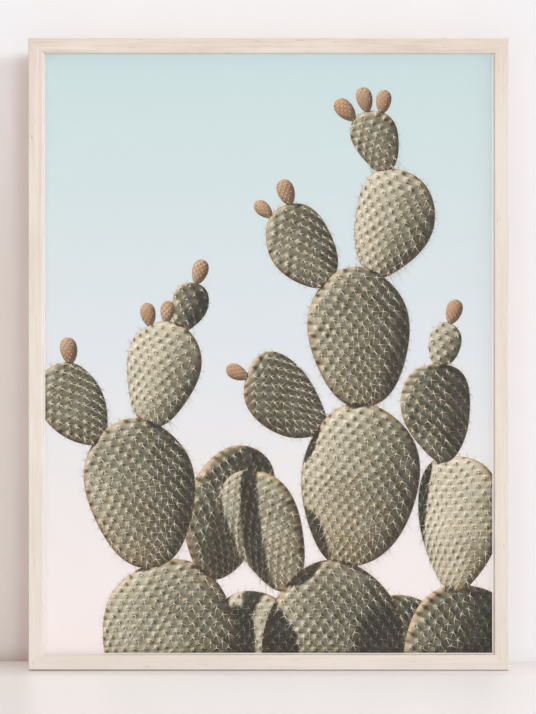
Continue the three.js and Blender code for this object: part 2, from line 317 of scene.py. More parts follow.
def limed_wood(settings):
    """Whitewashed wood, whose grain follows the rail: x across, y through and z along, in metres."""
    wood = Finish("limed_wood")
    grain = wood.attribute("grain")

    def streaks(squeeze, *noise):
        """Noise drawn out along the rail."""
        return wood.noise(wood.stretch(grain, 1, 1, squeeze), *noise)

    figure = streaks(0.035, 240, 4, 0.55, 0.7)
    fibre = streaks(0.02, 1500, 2, 0.6)
    cloud = streaks(0.3, 34, 4, 0.6)
    cover = wood.add(wood.times(figure, 0.9), wood.times(cloud, 0.7), wood.times(fibre, 0.5))
    limed, timber, fleck = (linear(c) for c in (settings.limed, settings.timber, settings.fleck))
    skin = wood.mix(wood.remap(cover, 0.82, 1.22), timber, limed)
    patches = wood.remap(streaks(0.12, 55, 2, 0.5), 0.45, 0.7)
    tinted = wood.mix(wood.times(patches, 0.22), skin, tone(limed, 0.93, 0.95, 0.90))
    sparse = wood.remap(wood.noise(grain, 45, 1), 0.52, 0.62)
    dashes = wood.times(wood.remap(streaks(0.11, 620, 1, 0.4), 0.655, 0.74), sparse)
    flecked = wood.mix(wood.times(dashes, 0.6), tinted, fleck)
    # The rails are drawn towards the whitest colour by a share that runs along each rail, highest towards the
    # bottom.
    whitest_blend = wood.mix(0.45, flecked, linear(settings.whitest))
    whiter = wood.mix(wood.attribute("wash", "Fac"), flecked, whitest_blend)
    across, depth, _ = wood.split(grain)
    at_edge = 1.0
    for place, low, high in ((across, 0, RAIL_WIDTH), (depth, FRONT, BACK)):
        from_middle = wood.size(wood.less(place, (low + high) / 2))
        half = (high - low) / 2
        at_edge = wood.times(at_edge, wood.remap(from_middle, half - 1.1 * MM, half - 0.1 * MM))
    rubbed = wood.times(at_edge, wood.remap(wood.noise(grain, 90, 3), 0.42, 0.66, 0.1, 0.75))
    worn = wood.mix(rubbed, whiter, tone(timber, 0.93))
    wood.set(Base_Color=worn, Roughness=wood.remap(cover, 0.7, 1.3, 0.66, 0.52), Specular_IOR_Level=0.35)
    wood.bump(wood.less(wood.add(fibre, wood.times(figure, 0.6)), wood.times(dashes, 1.2)), 0.05 * MM, 0.7)
    return wood.material


def clear_glazing():
    """Clear acrylic, thin enough that only a trace of it shows."""
    acrylic = Finish("clear_glazing")
    haze = acrylic.remap(acrylic.noise(acrylic.place(), 14, 3), 0.35, 0.7, 0.03, 0.08)
    acrylic.set(Base_Color=(0.95, 0.97, 0.97), Alpha=0.016, IOR=1.49, Roughness=haze)
    return acrylic.material


def paper_tooth(finish):
    """The fine tooth of matt art paper."""
    spot = finish.place()
    tooth = finish.add(finish.noise(spot, 2600, 2), finish.times(finish.noise(spot, 500, 2), 0.6))
    finish.set(Roughness=finish.remap(tooth, 0.5, 1.1, 0.74, 0.9), Specular_IOR_Level=0.25)
    finish.bump(tooth, 0.02 * MM, 0.35)


def art_paper(settings):
    """Unprinted white paper."""
    paper = Finish("art_paper")
    mottle = paper.remap(paper.noise(paper.place(), 120, 3), 0.3, 0.7)
    white = linear(settings.paper)
    paper.set(Base_Color=paper.mix(mottle, white, tone(white, 0.975)))
    paper_tooth(paper)
    return paper.material


def printed_sky(settings, low, high):
    """A pastel sky that pales and warms towards the bottom of the picture."""
    sky = Finish("printed_sky")
    spot = sky.place()
    drift = sky.times(sky.less(sky.noise(sky.stretch(spot, 0.5, 1, 1.6), 3.2, 2), 0.5), 0.05)
    rise = sky.add(sky.remap(sky.split(spot)[2], low, high), drift)
    stops = (settings.sky_foot, settings.sky_low, settings.sky_middle, settings.sky_high, settings.sky_top)
    grains = sky.remap(sky.noise(spot, 1400, 2), 0.3, 0.7, 0.985, 1.015)
    sky.set(Base_Color=sky.mix(1.0, sky.ramp(rise, stops), sky.join(grains, grains, grains), "MULTIPLY"))
    paper_tooth(sky)
    return sky.material


def printed_ink(name, colour):
    """Ink of one colour on the paper's tooth."""
    ink = Finish(name)
    ink.set(Base_Color=linear(colour))
    paper_tooth(ink)
    return ink.material


def printed_skin(name, tones, settings, cork_share=1.0):
    """Printed cactus skin. The shell carries its light, its place in the pattern of tufts, and the sun's
    direction across it, and the tufts, bloom and blemishes are drawn from these."""
    skin = Finish(name)
    light, sun_share, _ = skin.split(skin.attribute("light"))
    across, along, cork = skin.split(skin.attribute("tufts"))
    sun_across, sun_along, rim = skin.split(skin.attribute("sunward"))
    spot = skin.place()

    def cloud(scale, detail, low, high, *shape):
        """Noise at that scale, spread from low to high."""
        return skin.remap(skin.noise(spot, scale, detail, *shape), 0.3, 0.7, low, high)

    # Where the nearest tuft lies: rows are staggered by half a step, and drift a little.
    drift = cloud(40, 1, -0.14, 0.14)
    across, along = skin.add(across, drift), skin.less(along, drift)
    row = skin.math("ROUND", along)
    shifted = skin.less(across, skin.times(skin.math("FLOORED_MODULO", row, 2.0), 0.5))
    off_across = skin.less(shifted, skin.math("ROUND", shifted))
    off_along = skin.times(skin.less(along, row), ROW_PITCH)
    reach = skin.math("SQRT", skin.add(skin.times(off_across, off_across), skin.times(off_along, off_along)))

    # Each tuft stands on a knob, lit towards the sun, with a pocket of shade behind it.
    swell = skin.math("EXPONENT", skin.times(reach, reach, -18.0))
    facing = skin.add(skin.times(off_across, sun_across), skin.times(off_along, sun_along))
    sharpness = skin.times(skin.remap(sun_share, 0, 1, 1.7, 3.4), cloud(75, 1, 0.45, 1.25))
    knob = skin.times(facing, swell, sharpness)
    offsets = (off_across, sun_across), (off_along, sun_along)
    behind = [skin.add(off, skin.times(sun, 0.17)) for off, sun in offsets]
    fallen = skin.add(*(skin.times(b, b) for b in behind))
    depth = skin.remap(sun_share, 0, 1, 0.06, 0.26)
    pocket = skin.times(skin.math("EXPONENT", skin.times(fallen, -75.0)), depth)
    uneven = skin.add(cloud(26, 3, -0.05, 0.05), cloud(420, 3, -0.045, 0.045, 0.65))
    lit = skin.less(skin.add(light, knob, uneven), pocket)

    # Colours over the plain skin, each as dark as the light there.
    level = skin.remap(lit, 0, 1, 0.1, 1.0)
    shade = skin.join(level, level, level)
    over = (0.72, 0.78, 0.66), tone(linear(settings.cork), 1.05), tone(linear(settings.felt), 1.3)
    bloom, flush, felt = (skin.mix(1.0, colour, shade, "MULTIPLY") for colour in over)
    crust = skin.remap(skin.noise(spot, 150, 4, 0.7), 0.36, 0.6)
    colour = skin.ramp(lit, tones)
    for share, over in (
        (skin.remap(skin.noise(spot, 60, 3, 0.6), 0.45, 0.68, 0, 0.28), bloom),
        (skin.times(rim, 0.55), flush),
        (skin.math("MULTIPLY", skin.times(cork, crust), cork_share, clamp=True), flush),
        (skin.remap(skin.noise(spot, 95, 2, 0.5, 0.8), 0.70, 0.76, 0, 0.7 * cork_share), flush),
        (skin.remap(reach, 0.10, 0.16, 0.9, 0.0), felt),
    ):
        colour = skin.mix(share, colour, over)
    skin.set(Base_Color=colour)
    paper_tooth(skin)
    return skin.material


def fibre_board(name, colour, coarse):
    """Pressed fibre board: fine fibres, a few darker ones, and a soft cloudiness."""
    board = Finish(name)
    spot = board.place()
    fibres = board.noise(board.stretch(spot, 1, 1, 0.45), coarse, 4, 0.65, 0.5)
    strands = board.noise(board.stretch(spot, 0.35, 1, 1), coarse * 0.7, 2, 0.5, 1.2)
    plain = linear(colour)
    body = board.mix(board.remap(fibres, 0.3, 0.7), tone(plain, 0.84), tone(plain, 1.12))
    body = board.mix(board.remap(strands, 0.62, 0.72, 0, 0.55), body, tone(plain, 0.5))
    body = board.mix(board.remap(board.noise(spot, 9, 3), 0.3, 0.7, 0, 0.25), body, tone(plain, 0.78))
    board.set(Base_Color=body, Roughness=board.remap(fibres, 0.3, 0.7, 0.62, 0.85), Specular_IOR_Level=0.3)
    board.bump(board.add(fibres, strands), 0.06 * MM, 0.6)
    return board.material


def plated_steel(name, colour, rough, crystals=0.8):
    """Plated sheet steel with faint crystals, rolling marks and handling wear."""
    steel = Finish(name)
    spot = steel.place()
    spangle = steel.node("ShaderNodeTexVoronoi", ("Vector", spot), ("Scale", 420)).outputs["Color"]
    rolled = steel.noise(steel.stretch(spot, 0.12, 1, 1), 2400, 3)
    smudge = steel.noise(spot, 160, 3)
    plain = linear(colour)
    shade = steel.mix(steel.times(steel.split(spangle)[0], crystals), plain, tone(plain, 0.72))
    shade = steel.mix(steel.remap(smudge, 0.5, 0.7, 0, 0.45), shade, tone(plain, 0.6))
    marks = steel.remap(rolled, 0.3, 0.7, rough - 0.06, rough + 0.08)
    polish = steel.add(marks, steel.remap(smudge, 0.4, 0.7, 0, 0.12))
    steel.set(Base_Color=shade, Metallic=1.0, Roughness=polish)
    steel.bump(rolled, 0.01 * MM, 0.5)
    return steel.material


def bumper_rubber(settings):
    """Soft clear-grey rubber with a little dust."""
    rubber = Finish("bumper_rubber")
    spot = rubber.place()
    dust = rubber.noise(spot, 900, 3)
    plain = linear(settings.rubber)
    dusty = rubber.mix(rubber.remap(dust, 0.4, 0.7), plain, tone(plain, 0.93))
    rubber.set(Base_Color=dusty, Roughness=rubber.remap(dust, 0.3, 0.7, 0.32, 0.5), IOR=1.43)
    rubber.bump(rubber.noise(spot, 1800, 2), 0.008 * MM, 0.3)
    return rubber.material


# ---- Shared modelling -----------------------------------------------------------------------


def mesh_of(name, bm):
    """The bmesh as a mesh of that name."""
    mesh = bpy.data.meshes.new(name)
    bm.to_mesh(mesh)
    bm.free()
    return mesh


def finish_piece(name, bm, material, body="frame", stands_for=()):
    """Makes the piece from its bmesh, which rides on the body and stands for those CAD nodes."""
    mesh = mesh_of(name, bm)
    mesh.materials.append(material)
    piece = bpy.data.objects.new(name, mesh)
    bpy.context.scene.collection.objects.link(piece)
    if body:
        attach(piece, body)
    if stands_for:
        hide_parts(*stands_for)
    return piece


def corners_of(made):
    """The corners among what a bmesh operator made."""
    return [g for g in made["geom"] if isinstance(g, bmesh.types.BMVert)]


def bevel(bm, edges, width, segments):
    """Rounds the edges, whose new faces are shaded smooth."""
    made = bmesh.ops.bevel(
        bm, geom=edges, offset=width, offset_type="OFFSET", segments=segments,
        profile=0.5, affect="EDGES", material=-1, clamp_overlap=True,
    )
    for face in made["faces"]:
        face.smooth = True


def sharp_edges(bm, degrees=30):
    return [e for e in bm.edges if len(e.link_faces) == 2 and e.calc_face_angle() > math.radians(degrees)]


def merged_copy(node):
    """A bmesh of a CAD node with its loose triangles joined and its flat faces whole."""
    bm = bmesh.new()
    bm.from_mesh(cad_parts[node].data)
    bmesh.ops.remove_doubles(bm, verts=bm.verts, dist=1e-6)
    bmesh.ops.dissolve_limit(bm, angle_limit=math.radians(1), verts=bm.verts, edges=bm.edges)
    return bm


def outward(bm):
    bmesh.ops.recalc_face_normals(bm, faces=bm.faces)


def rounded_node(name, node, material, width, segments, degrees=30, body="frame"):
    """A piece with a CAD node's shape and its sharp edges rounded."""
    bm = merged_copy(node)
    bevel(bm, sharp_edges(bm, degrees), width, segments)
    finish_piece(name, bm, material, body, [node])


def pushed(bm, outline, push):
    """A solid with that flat outline at one end, pushed out along the vector push."""
    foot = bm.faces.new([bm.verts.new(point) for point in outline])
    grown = bmesh.ops.extrude_face_region(bm, geom=[foot])
    bmesh.ops.translate(bm, vec=push, verts=corners_of(grown))


def side_frame(turns, corner):
    """Where a side of the frame lies: x inwards, y to the back, z along the rail."""
    return Matrix.Translation((corner[0], 0, corner[1])) @ Matrix.Rotation(turns * math.pi / 2, 4, "Y")


# ---- Rails ----------------------------------------------------------------------------------


def rail(settings, length, offset, wash_range):
    """One mitred rail in its own directions, with the grain's coordinates on its vertices. How much whiter it
    is drawn goes from the first number of the given range at its start to the second at its end."""
    bm = bmesh.new()
    section = (
        (0, FRONT), (RAIL_WIDTH, FRONT), (RAIL_WIDTH, LIP_BACK),
        (WALL_WIDTH, LIP_BACK), (WALL_WIDTH, BACK), (0, BACK),
    )
    pushed(bm, [(u, y, 0) for u, y in section], (0, 0, length))
    outward(bm)

    def long_edges(*corners):
        return [
            e for e in bm.edges
            if abs(e.verts[0].co.z - e.verts[1].co.z) > length / 2
            and any((e.verts[0].co.xy - Vector(c)).length < 1e-5 for c in corners)
        ]

    bevel(bm, long_edges(section[0], section[1]), settings.front_arris, 4)
    bevel(bm, long_edges(section[5]), settings.back_arris, 3)
    bevel(bm, long_edges(section[2], section[4]), settings.arris, 2)
    for vert in bm.verts:
        along = vert.co.z
        vert.co.z += (vert.co.x + settings.mitre_gap) * (1 - 2 * along / length)
    ends = [f for f in bm.faces if len(f.verts) > 8]
    bevel(bm, [e for f in ends for e in f.edges], settings.mitre_arris, 2)
    grain = bm.verts.layers.float_vector.new("grain")
    # A share along the rail of how much whiter it is drawn.
    wash = bm.verts.layers.float.new("wash")
    for vert in bm.verts:
        vert[grain] = vert.co + Vector((0, 0, offset))
        vert[wash] = wash_range[0] + (wash_range[1] - wash_range[0]) * vert.co.z / length
    return bm


class FRAMEDPRINT_OT_rails(Operator):
    """Make the four whitewashed rails, mitred at the corners"""

    bl_idname = "framed_print.rails"
    bl_label = "Rails"

    def execute(self, context):
        settings = context.scene.framed_print_rails
        material = limed_wood(settings)
        for turns, (side, corner, length) in enumerate(SIDES):
            bm = rail(settings, length, GRAIN_OFFSET * turns, RAIL_WHITENING[side])
            bmesh.ops.transform(bm, matrix=side_frame(turns, corner), verts=bm.verts)
            finish_piece(f"wood_rail_{side}", bm, material, stands_for=[f"rail_{side}"])
        return {"FINISHED"}


class FRAMEDPRINT_OT_corner_wedges(Operator):
    """Make the folded steel wedges that are driven flush into the back of each mitre"""

    bl_idname = "framed_print.corner_wedges"
    bl_label = "Corner wedges"

    def execute(self, context):
        settings = context.scene.framed_print_fittings
        reach, gauge, proud, depth, inset = 3.1 * MM, 0.45 * MM, 0.04 * MM, 4 * MM, 4.6 * MM
        profile = ((-reach, 0), (0, 0), (0, -reach), (gauge, -reach), (gauge, gauge), (-reach, gauge))
        bm = bmesh.new()
        for turns, (_, corner, _) in enumerate(SIDES):
            here = side_frame(turns, corner)
            middle = Vector((inset, 0, inset))
            outline = [here @ (middle + Vector((x, BACK + proud, z))) for x, z in profile]
            pushed(bm, outline, (0, -depth, 0))
        outward(bm)
        bevel(bm, sharp_edges(bm), 0.06 * MM, 1)
        finish_piece("corner_wedges", bm, plated_steel("wedge_steel", settings.zinc, 0.42))
        return {"FINISHED"}


# ---- Sheets ---------------------------------------------------------------------------------


class FRAMEDPRINT_OT_sheets(Operator):
    """Make the glazing, the paper, the filler card and the backing board"""

    bl_idname = "framed_print.sheets"
    bl_label = "Glazing, paper and boards"

    def execute(self, context):
        fittings = context.scene.framed_print_fittings
        paper = art_paper(context.scene.framed_print_picture)
        card = fibre_board("filler_card", fittings.card, 520)
        board = fibre_board("backing_board", fittings.backing, 900)
        for name, node, slot, material, arris in (
            ("glazing_pane", "glazing", "clear_glazing", clear_glazing(), 0.25),
            ("paper_sheet", "print_sheet", "printed_paper", paper, 0.04),
            ("filler_card_sheet", "filler_board", "filler_card", card, 0.3),
            ("backing_panel", "backing_board", "backing_hardboard", board, 0.4),
        ):
            rounded_node(name, node, material, arris * MM, 2)
        return {"FINISHED"}


def picture_area(settings):
    """Left, bottom, right and top of the printed picture, whose top runs on under the lip."""
    left, bottom, right, top = SIGHT
    side = settings.side_margin
    return left + side, bottom + settings.foot_margin, right - side, top + UNDER_LIP


class FRAMEDPRINT_OT_sky(Operator):
    """Print the pastel sky on the paper"""

    bl_idname = "framed_print.sky"
    bl_label = "Printed sky"

    def execute(self, context):
        settings = context.scene.framed_print_picture
        left, bottom, right, top = picture_area(settings)
        low, high = Vector((left, PAPER_FACE - SKY_INK, bottom)), Vector((right, PAPER_FACE, top))
        bm = bmesh.new()
        place = Matrix.Translation((high + low) / 2) @ Matrix.Diagonal((*(high - low), 1))
        bmesh.ops.create_cube(bm, size=1, matrix=place)
        finish_piece("printed_sky", bm, printed_sky(settings, bottom, SIGHT[3]))
        return {"FINISHED"}


# ---- The printed prickly pear ---------------------------------------------------------------

# Each pad in the order they are printed, the furthest first: what it grows from (another pad, or a
# place from the picture's middle), where on that pad's rim, lean, tilt and turn in degrees, length
# and width in millimetres, and how corky its skin is.
PADS = {
    "low_far": ((-8, -396), 0, -5, -6, -32, 158, 109, 0.6),
    "low_far_right": ((128, -400), 0, 4, -6, 34, 160, 107, 0.6),
    "back_left": ("foot_left", 36, 20, -6, 38, 140, 100, 0.2),
    "mid_back": ("foot_mid", -38, -26, -4, -40, 130, 93, 0.2),
    "foot_right": ((176, -398), 0, 10, 4, 26, 170, 117, 0.7),
    "right_stem": ("foot_right", -14, -2, -4, -34, 138, 96, 0.2),
    "right_bud": ("right_high", 8, 14, 6, -20, 46, 34, 0),
    "right_high": ("right_stem", -10, -8, 5, 22, 100, 73, 0),
    "crown": ("top_right", -24, -20, 5, -28, 66, 50, 0),
    "top_left": ("mid_high", -34, -30, -4, 24, 92, 69, 0),
    "top_right": ("mid_high", 20, 16, 6, -18, 112, 82, 0.1),
    "foot_left": ((-88, -404), 0, -6, 4, -14, 198, 137, 0.8),
    "left_bud": ("left_crown", 20, 16, 4, 14, 50, 37, 0),
    "left_tip": ("left_high", -34, -34, -4, 26, 92, 69, 0),
    "left_crown": ("left_high", 18, 12, 5, -24, 108, 78, 0),
    "left_high": ("foot_left", -4, -10, -3, 12, 152, 110, 0.3),
    "mid_side": ("mid_stem", -50, -44, 8, 30, 100, 75, 0.1),
    "mid_high": ("mid_stem", -2, -4, -4, 14, 142, 103, 0.2),
    "mid_stem": ("foot_mid", 6, 8, 4, -12, 166, 119, 0.4),
    "foot_mid": ((62, -414), 0, 2, -2, 10, 204, 142, 0.9),
}

# Fruit: the pad each grows from, and where on its rim, in degrees.
FRUITS = (
    ("crown", -30), ("crown", 8), ("crown", 38),
    ("top_left", -22), ("top_left", 14),
    ("left_bud", 0), ("left_crown", -30), ("left_crown", -6),
    ("left_tip", 34), ("right_bud", 4), ("mid_side", -24),
)
# A fruit's length and width in millimetres, and how thick the shells are for their width.
FRUIT_LENGTH, FRUIT_WIDTH = 27, 17
PAD_THICKNESS, FRUIT_THICKNESS = 0.17, 0.9
# How much a shell widens towards its tip, and how far out to the rim it is seated on the one below.
EGG = 0.2
PAD_SEAT, FRUIT_SEAT = 0.93, 0.97
# How far apart the rows of tufts are, for the tufts' pitch along a row.
ROW_PITCH = 0.62
# Where the sun stands, seen from the plant.
SUN = Vector((-0.64, -0.42, 0.64)).normalized()
# How far past a shell its spines are taken to reach, in finding what it overlaps.
SPINE_MARGIN = 12 * MM
SPINE_WIDTH = 0.62 * MM
SHADOW_WIDTH = 0.55 * MM
RIM_SPINE_WIDTH = 0.5 * MM
SHORTEST_STROKE = 0.6 * MM
# How far inside the picture's edges the strokes stay.
STROKE_INSET = 0.5 * MM
# How far a spine goes along the skin and away from it, for its length.
LIE, RISE = 0.82, 0.57
# Fruit has closer tufts and shorter spines than the pads.
FRUIT_PITCH = 0.42
FRUIT_SPINE = 0.3
# The tufts on a shell's face end at this share of the squared way to its rim, and those on the rim end this
# near its foot, in degrees.
FACE_TUFTS = 0.93
BARE_FOOT = 32
# Where a shell's rim begins and how wide it is, for its radius.
RIM_START, RIM_WIDTH = 0.93, 0.07
# The printed shares of the sun's light, the sky's, what the ground throws back and a slow unevenness.
SUN_LIGHT, SKY_LIGHT, GROUND_LIGHT, UNEVEN_LIGHT = 0.90, 0.24, 0.05, 0.04
# How far off the skin the rays for its shade start, and how far they look for what hides the sky or the sun.
RAY_START, SKY_REACH, SUN_REACH = 2.2 * MM, 0.4, 1.0


class Shell:
    """A pad or a fruit: where it lies in the picture, its size, and its print layer."""

    def __init__(self, matrix, length, width, thickness, lean, cork=0.0, fruit=False):
        self.matrix, self.lean, self.cork, self.fruit = matrix, lean, cork, fruit
        self.length, self.width, self.thickness = length * MM, width * MM, thickness * MM
        self.inverse = matrix.to_3x3().transposed()
        self.layer = 0

    def point(self, ball):
        """The place on the shell of a point on the unit ball."""
        across, through, along = ball
        turn = math.atan2(across, along)
        uneven, bow, fullness = 0, 0, 0.8
        if not self.fruit:
            uneven = 0.022 * math.sin(3 * turn + self.lean) + 0.013 * math.sin(5 * turn - 2 * self.lean)
            bow = 0.10 * self.width * (across * across - 0.25)
            fullness = 0.55
        x = self.width / 2 * across * (1 + EGG * along) * (1 + uneven)
        y = self.thickness / 2 * math.copysign(abs(through) ** fullness, through)
        z = self.length * (0.5 + 0.5 * along * (1 + uneven))
        return self.matrix @ Vector((x, y + bow, z))

    def rim(self, degrees, share=1.0):
        turn = math.radians(degrees)
        return self.point((math.sin(turn) * share, 0, math.cos(turn) * share))

    def reach(self):
        """The box that the shell and its spines take up in the picture."""
        rim = [self.rim(15 * i) for i in range(24)]
        xs, zs = [p.x for p in rim], [p.z for p in rim]
        return min(xs) - SPINE_MARGIN, min(zs) - SPINE_MARGIN, max(xs) + SPINE_MARGIN, max(zs) + SPINE_MARGIN


def turned(lean, tilt, turn=0):
    """The matrix for a lean in the picture, a tilt to or from it and a turn about the shell's length."""
    matrix = Matrix.Identity(4)
    for degrees, axis in ((lean, "Y"), (tilt, "X"), (turn, "Z")):
        matrix = matrix @ Matrix.Rotation(math.radians(degrees), 4, axis)
    return matrix


def shells():
    """The pads and fruits from the furthest to the nearest, each on a layer over those that it overlaps."""
    placed = {}

    def place(name):
        if name not in placed:
            parent, at, lean, tilt, turn, length, width, cork = PADS[name]
            if isinstance(parent, tuple):
                base = MIDDLE + Vector((parent[0] * MM, 0, parent[1] * MM))
            else:
                base = place(parent).rim(at, PAD_SEAT)
            matrix = Matrix.Translation(base) @ turned(lean, tilt, turn)
            placed[name] = Shell(matrix, length, width, width * PAD_THICKNESS, lean, cork)
        return placed[name]

    order = []
    for name in PADS:
        pad = place(name)
        for number, (parent, at) in enumerate(FRUITS):
            if parent == name:
                lean = pad.lean + at * 0.75
                matrix = Matrix.Translation(pad.rim(at, FRUIT_SEAT)) @ turned(lean, 5 - 4 * (number % 4))
                size = 1 - 0.06 * (number % 4)
                length, width = FRUIT_LENGTH * size, FRUIT_WIDTH * size
                thickness = width * FRUIT_THICKNESS
                order.append(Shell(matrix, length, width, thickness, lean, fruit=True))
        order.append(pad)
    for number, shell in enumerate(order):
        low_x, low_z, high_x, high_z = shell.reach()
        for below in order[:number]:
            box = below.reach()
            if low_x < box[2] and box[0] < high_x and low_z < box[3] and box[1] < high_z:
                shell.layer = max(shell.layer, below.layer + 1)
    return order


def unit_ball(divisions):
    """A ball of even square cells, which each shell is shaped from."""
    bm = bmesh.new()
    bmesh.ops.create_cube(bm, size=2)
    bmesh.ops.subdivide_edges(bm, edges=bm.edges, cuts=divisions - 1, use_grid_fill=True)
    for vert in bm.verts:
        vert.co = Vector([math.tan(c * math.pi / 4) for c in vert.co]).normalized()
    return mesh_of("unit_ball", bm)


def solid_shells(order):
    """The whole plant in the round, for its shadows."""
    ball = unit_ball(12)
    points, faces = [], []
    for shell in order:
        start = len(points)
        points += [shell.point(v.co) for v in ball.vertices]
        faces += [[start + i for i in p.vertices] for p in ball.polygons]
    bpy.data.meshes.remove(ball)
    return BVHTree.FromPolygons(points, faces)


def sky_directions(count):
    """Even directions over a half ball about +Z, more of them near the middle."""
    golden = math.pi * (3 - math.sqrt(5))
    found = []
    for i in range(count):
        share = (i + 0.5) / count
        radius, turn = math.sqrt(share), i * golden
        found.append(Vector((radius * math.cos(turn), radius * math.sin(turn), math.sqrt(1 - share))))
    return found


def lighting(solid, place, normal, samples, spread):
    """Light from the sky and the sun at a place on the plant: (sky share, sun share)."""
    start = place + normal * RAY_START
    turn = normal.to_track_quat("Z", "Y")
    sky = 0.0
    for direction in samples:
        ray = turn @ direction
        if solid.ray_cast(start, ray, SKY_REACH)[0] is None:
            sky += 0.55 + 0.45 * ray.z
    sun = 0
    if normal.dot(SUN) > -0.1:
        for jitter in spread:
            if solid.ray_cast(start, SUN + jitter, SUN_REACH)[0] is None:
                sun += 1
    return sky / len(samples), sun / len(spread)


def layer_depth(layer, layers):
    """Where a print layer lies, and how far it is from the next."""
    step = PICTURE_RELIEF / (layers + 1)
    return PAPER_FACE - FIRST_LAYER - layer * step, step


def tuft_spacing(shell, settings):
    return settings.areole_pitch * (FRUIT_PITCH if shell.fruit else 1)


def printed_shells(name, chosen, layers, solid, settings, material):
    """Prints shells as thin layers of ink that keep the light of the plant in the round."""
    divisions, rays = ((settings.divisions, 14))
    samples = sky_directions(rays)
    spread = [Vector((0.02 * math.cos(a), 0.02 * math.sin(a), 0)) for a in (0, 2.1, 4.2)]
    ball = unit_ball(divisions)
    bm = bmesh.new()
    vectors = bm.verts.layers.float_vector
    light, tufts, sunward = vectors.new("light"), vectors.new("tufts"), vectors.new("sunward")
    owner = bm.verts.layers.int.new("owner")
    for number, shell in enumerate(chosen):
        start = len(bm.verts)
        bm.from_mesh(ball)
        bm.verts.ensure_lookup_table()
        local_sun = shell.inverse @ SUN
        spacing = tuft_spacing(shell, settings)
        for vert in bm.verts[start:]:
            across, _, along = vert.co
            height = 0.5 + 0.5 * along
            cork = max(shell.cork * max(0.0, 1 - height * 1.6) * 1.5, 0.8 - height * 7)
            column = shell.width / 2 * across / spacing
            row = shell.length / 2 * along / (spacing * ROW_PITCH)
            vert[tufts] = (column, row, cork)
            edge = max(0.0, math.hypot(across, along) - RIM_START) / RIM_WIDTH
            vert[sunward] = (local_sun.x, local_sun.z, edge)
            vert[owner] = number
            vert.co = shell.point(vert.co)
    bpy.data.meshes.remove(ball)
    bm.normal_update()
    hidden = [f for f in bm.faces if f.normal.y > -0.02]
    bmesh.ops.delete(bm, geom=hidden, context="FACES")
    for vert in bm.verts:
        sky, sun = lighting(solid, vert.co, vert.normal, samples, spread)
        direct = max(0.0, vert.normal.dot(SUN)) * sun
        shell = chosen[vert[owner]]
        wave = noise.noise(vert.co * 28 + Vector((7.3, 0, 0)) * vert[owner]) * UNEVEN_LIGHT
        bounce = GROUND_LIGHT * max(0.0, -vert.normal.z)
        whole = SUN_LIGHT * direct + SKY_LIGHT * sky * sky + bounce + wave
        vert[light] = (whole, sun * min(1.0, direct * 3), 0)
        depth, step = layer_depth(shell.layer, layers)
        vert.co.y = depth + 0.15 * step * vert.normal.y
    left, bottom, right, _ = picture_area(bpy.context.scene.framed_print_picture)
    cuts = ((left, 0, 0), (-1, 0, 0)), ((right, 0, 0), (1, 0, 0)), ((0, 0, bottom), (0, 0, -1))
    for place, facing in cuts:
        everything = bm.verts[:] + bm.edges[:] + bm.faces[:]
        bmesh.ops.bisect_plane(
            bm, geom=everything, dist=1e-7, plane_co=place, plane_no=facing, clear_outer=True,
        )
    border = [e for e in bm.edges if e.is_boundary]
    grown = bmesh.ops.extrude_edge_only(bm, edges=border)
    for vert in corners_of(grown):
        depth, step = layer_depth(chosen[vert[owner]].layer, layers)
        vert.co.y = depth + 0.12 * step
    bmesh.ops.edgeloop_fill(bm, edges=[g for g in grown["geom"] if isinstance(g, bmesh.types.BMEdge)])
    outward(bm)
    finish_piece(name, bm, material)


class Spines:
    """Thin tapered strokes of ink in a few tones, one bmesh each."""

    def __init__(self, area):
        self.area = area
        self.tones = {}
        bm = bmesh.new()
        place = Matrix.Translation((0, 0, 0.5)) @ Matrix.Rotation(math.pi / 6, 4, "Z")
        bmesh.ops.create_cone(bm, cap_ends=True, segments=3, radius1=1, radius2=0, depth=1, matrix=place)
        self.stroke = mesh_of("stroke", bm)

    def add(self, tone, start, end, width, depth, height):
        """A stroke of that width from start to end, on the print layer at that depth."""
        left, bottom, right, top = self.area
        for spot in (start, end):
            across = left + STROKE_INSET < spot.x < right - STROKE_INSET
            if not (across and bottom + STROKE_INSET < spot.z < top):
                return
        along = Vector((end.x - start.x, 0, end.z - start.z))
        if along.length < SHORTEST_STROKE:
            return
        side = along.cross(Vector((0, 1, 0))).normalized()
        matrix = Matrix((side * width / 2, Vector((0, height, 0)), along)).transposed().to_4x4()
        matrix.translation = Vector((start.x, depth, start.z))
        copy = self.stroke.copy()
        copy.transform(matrix)
        if tone not in self.tones:
            self.tones[tone] = bmesh.new()
        self.tones[tone].from_mesh(copy)
        bpy.data.meshes.remove(copy)


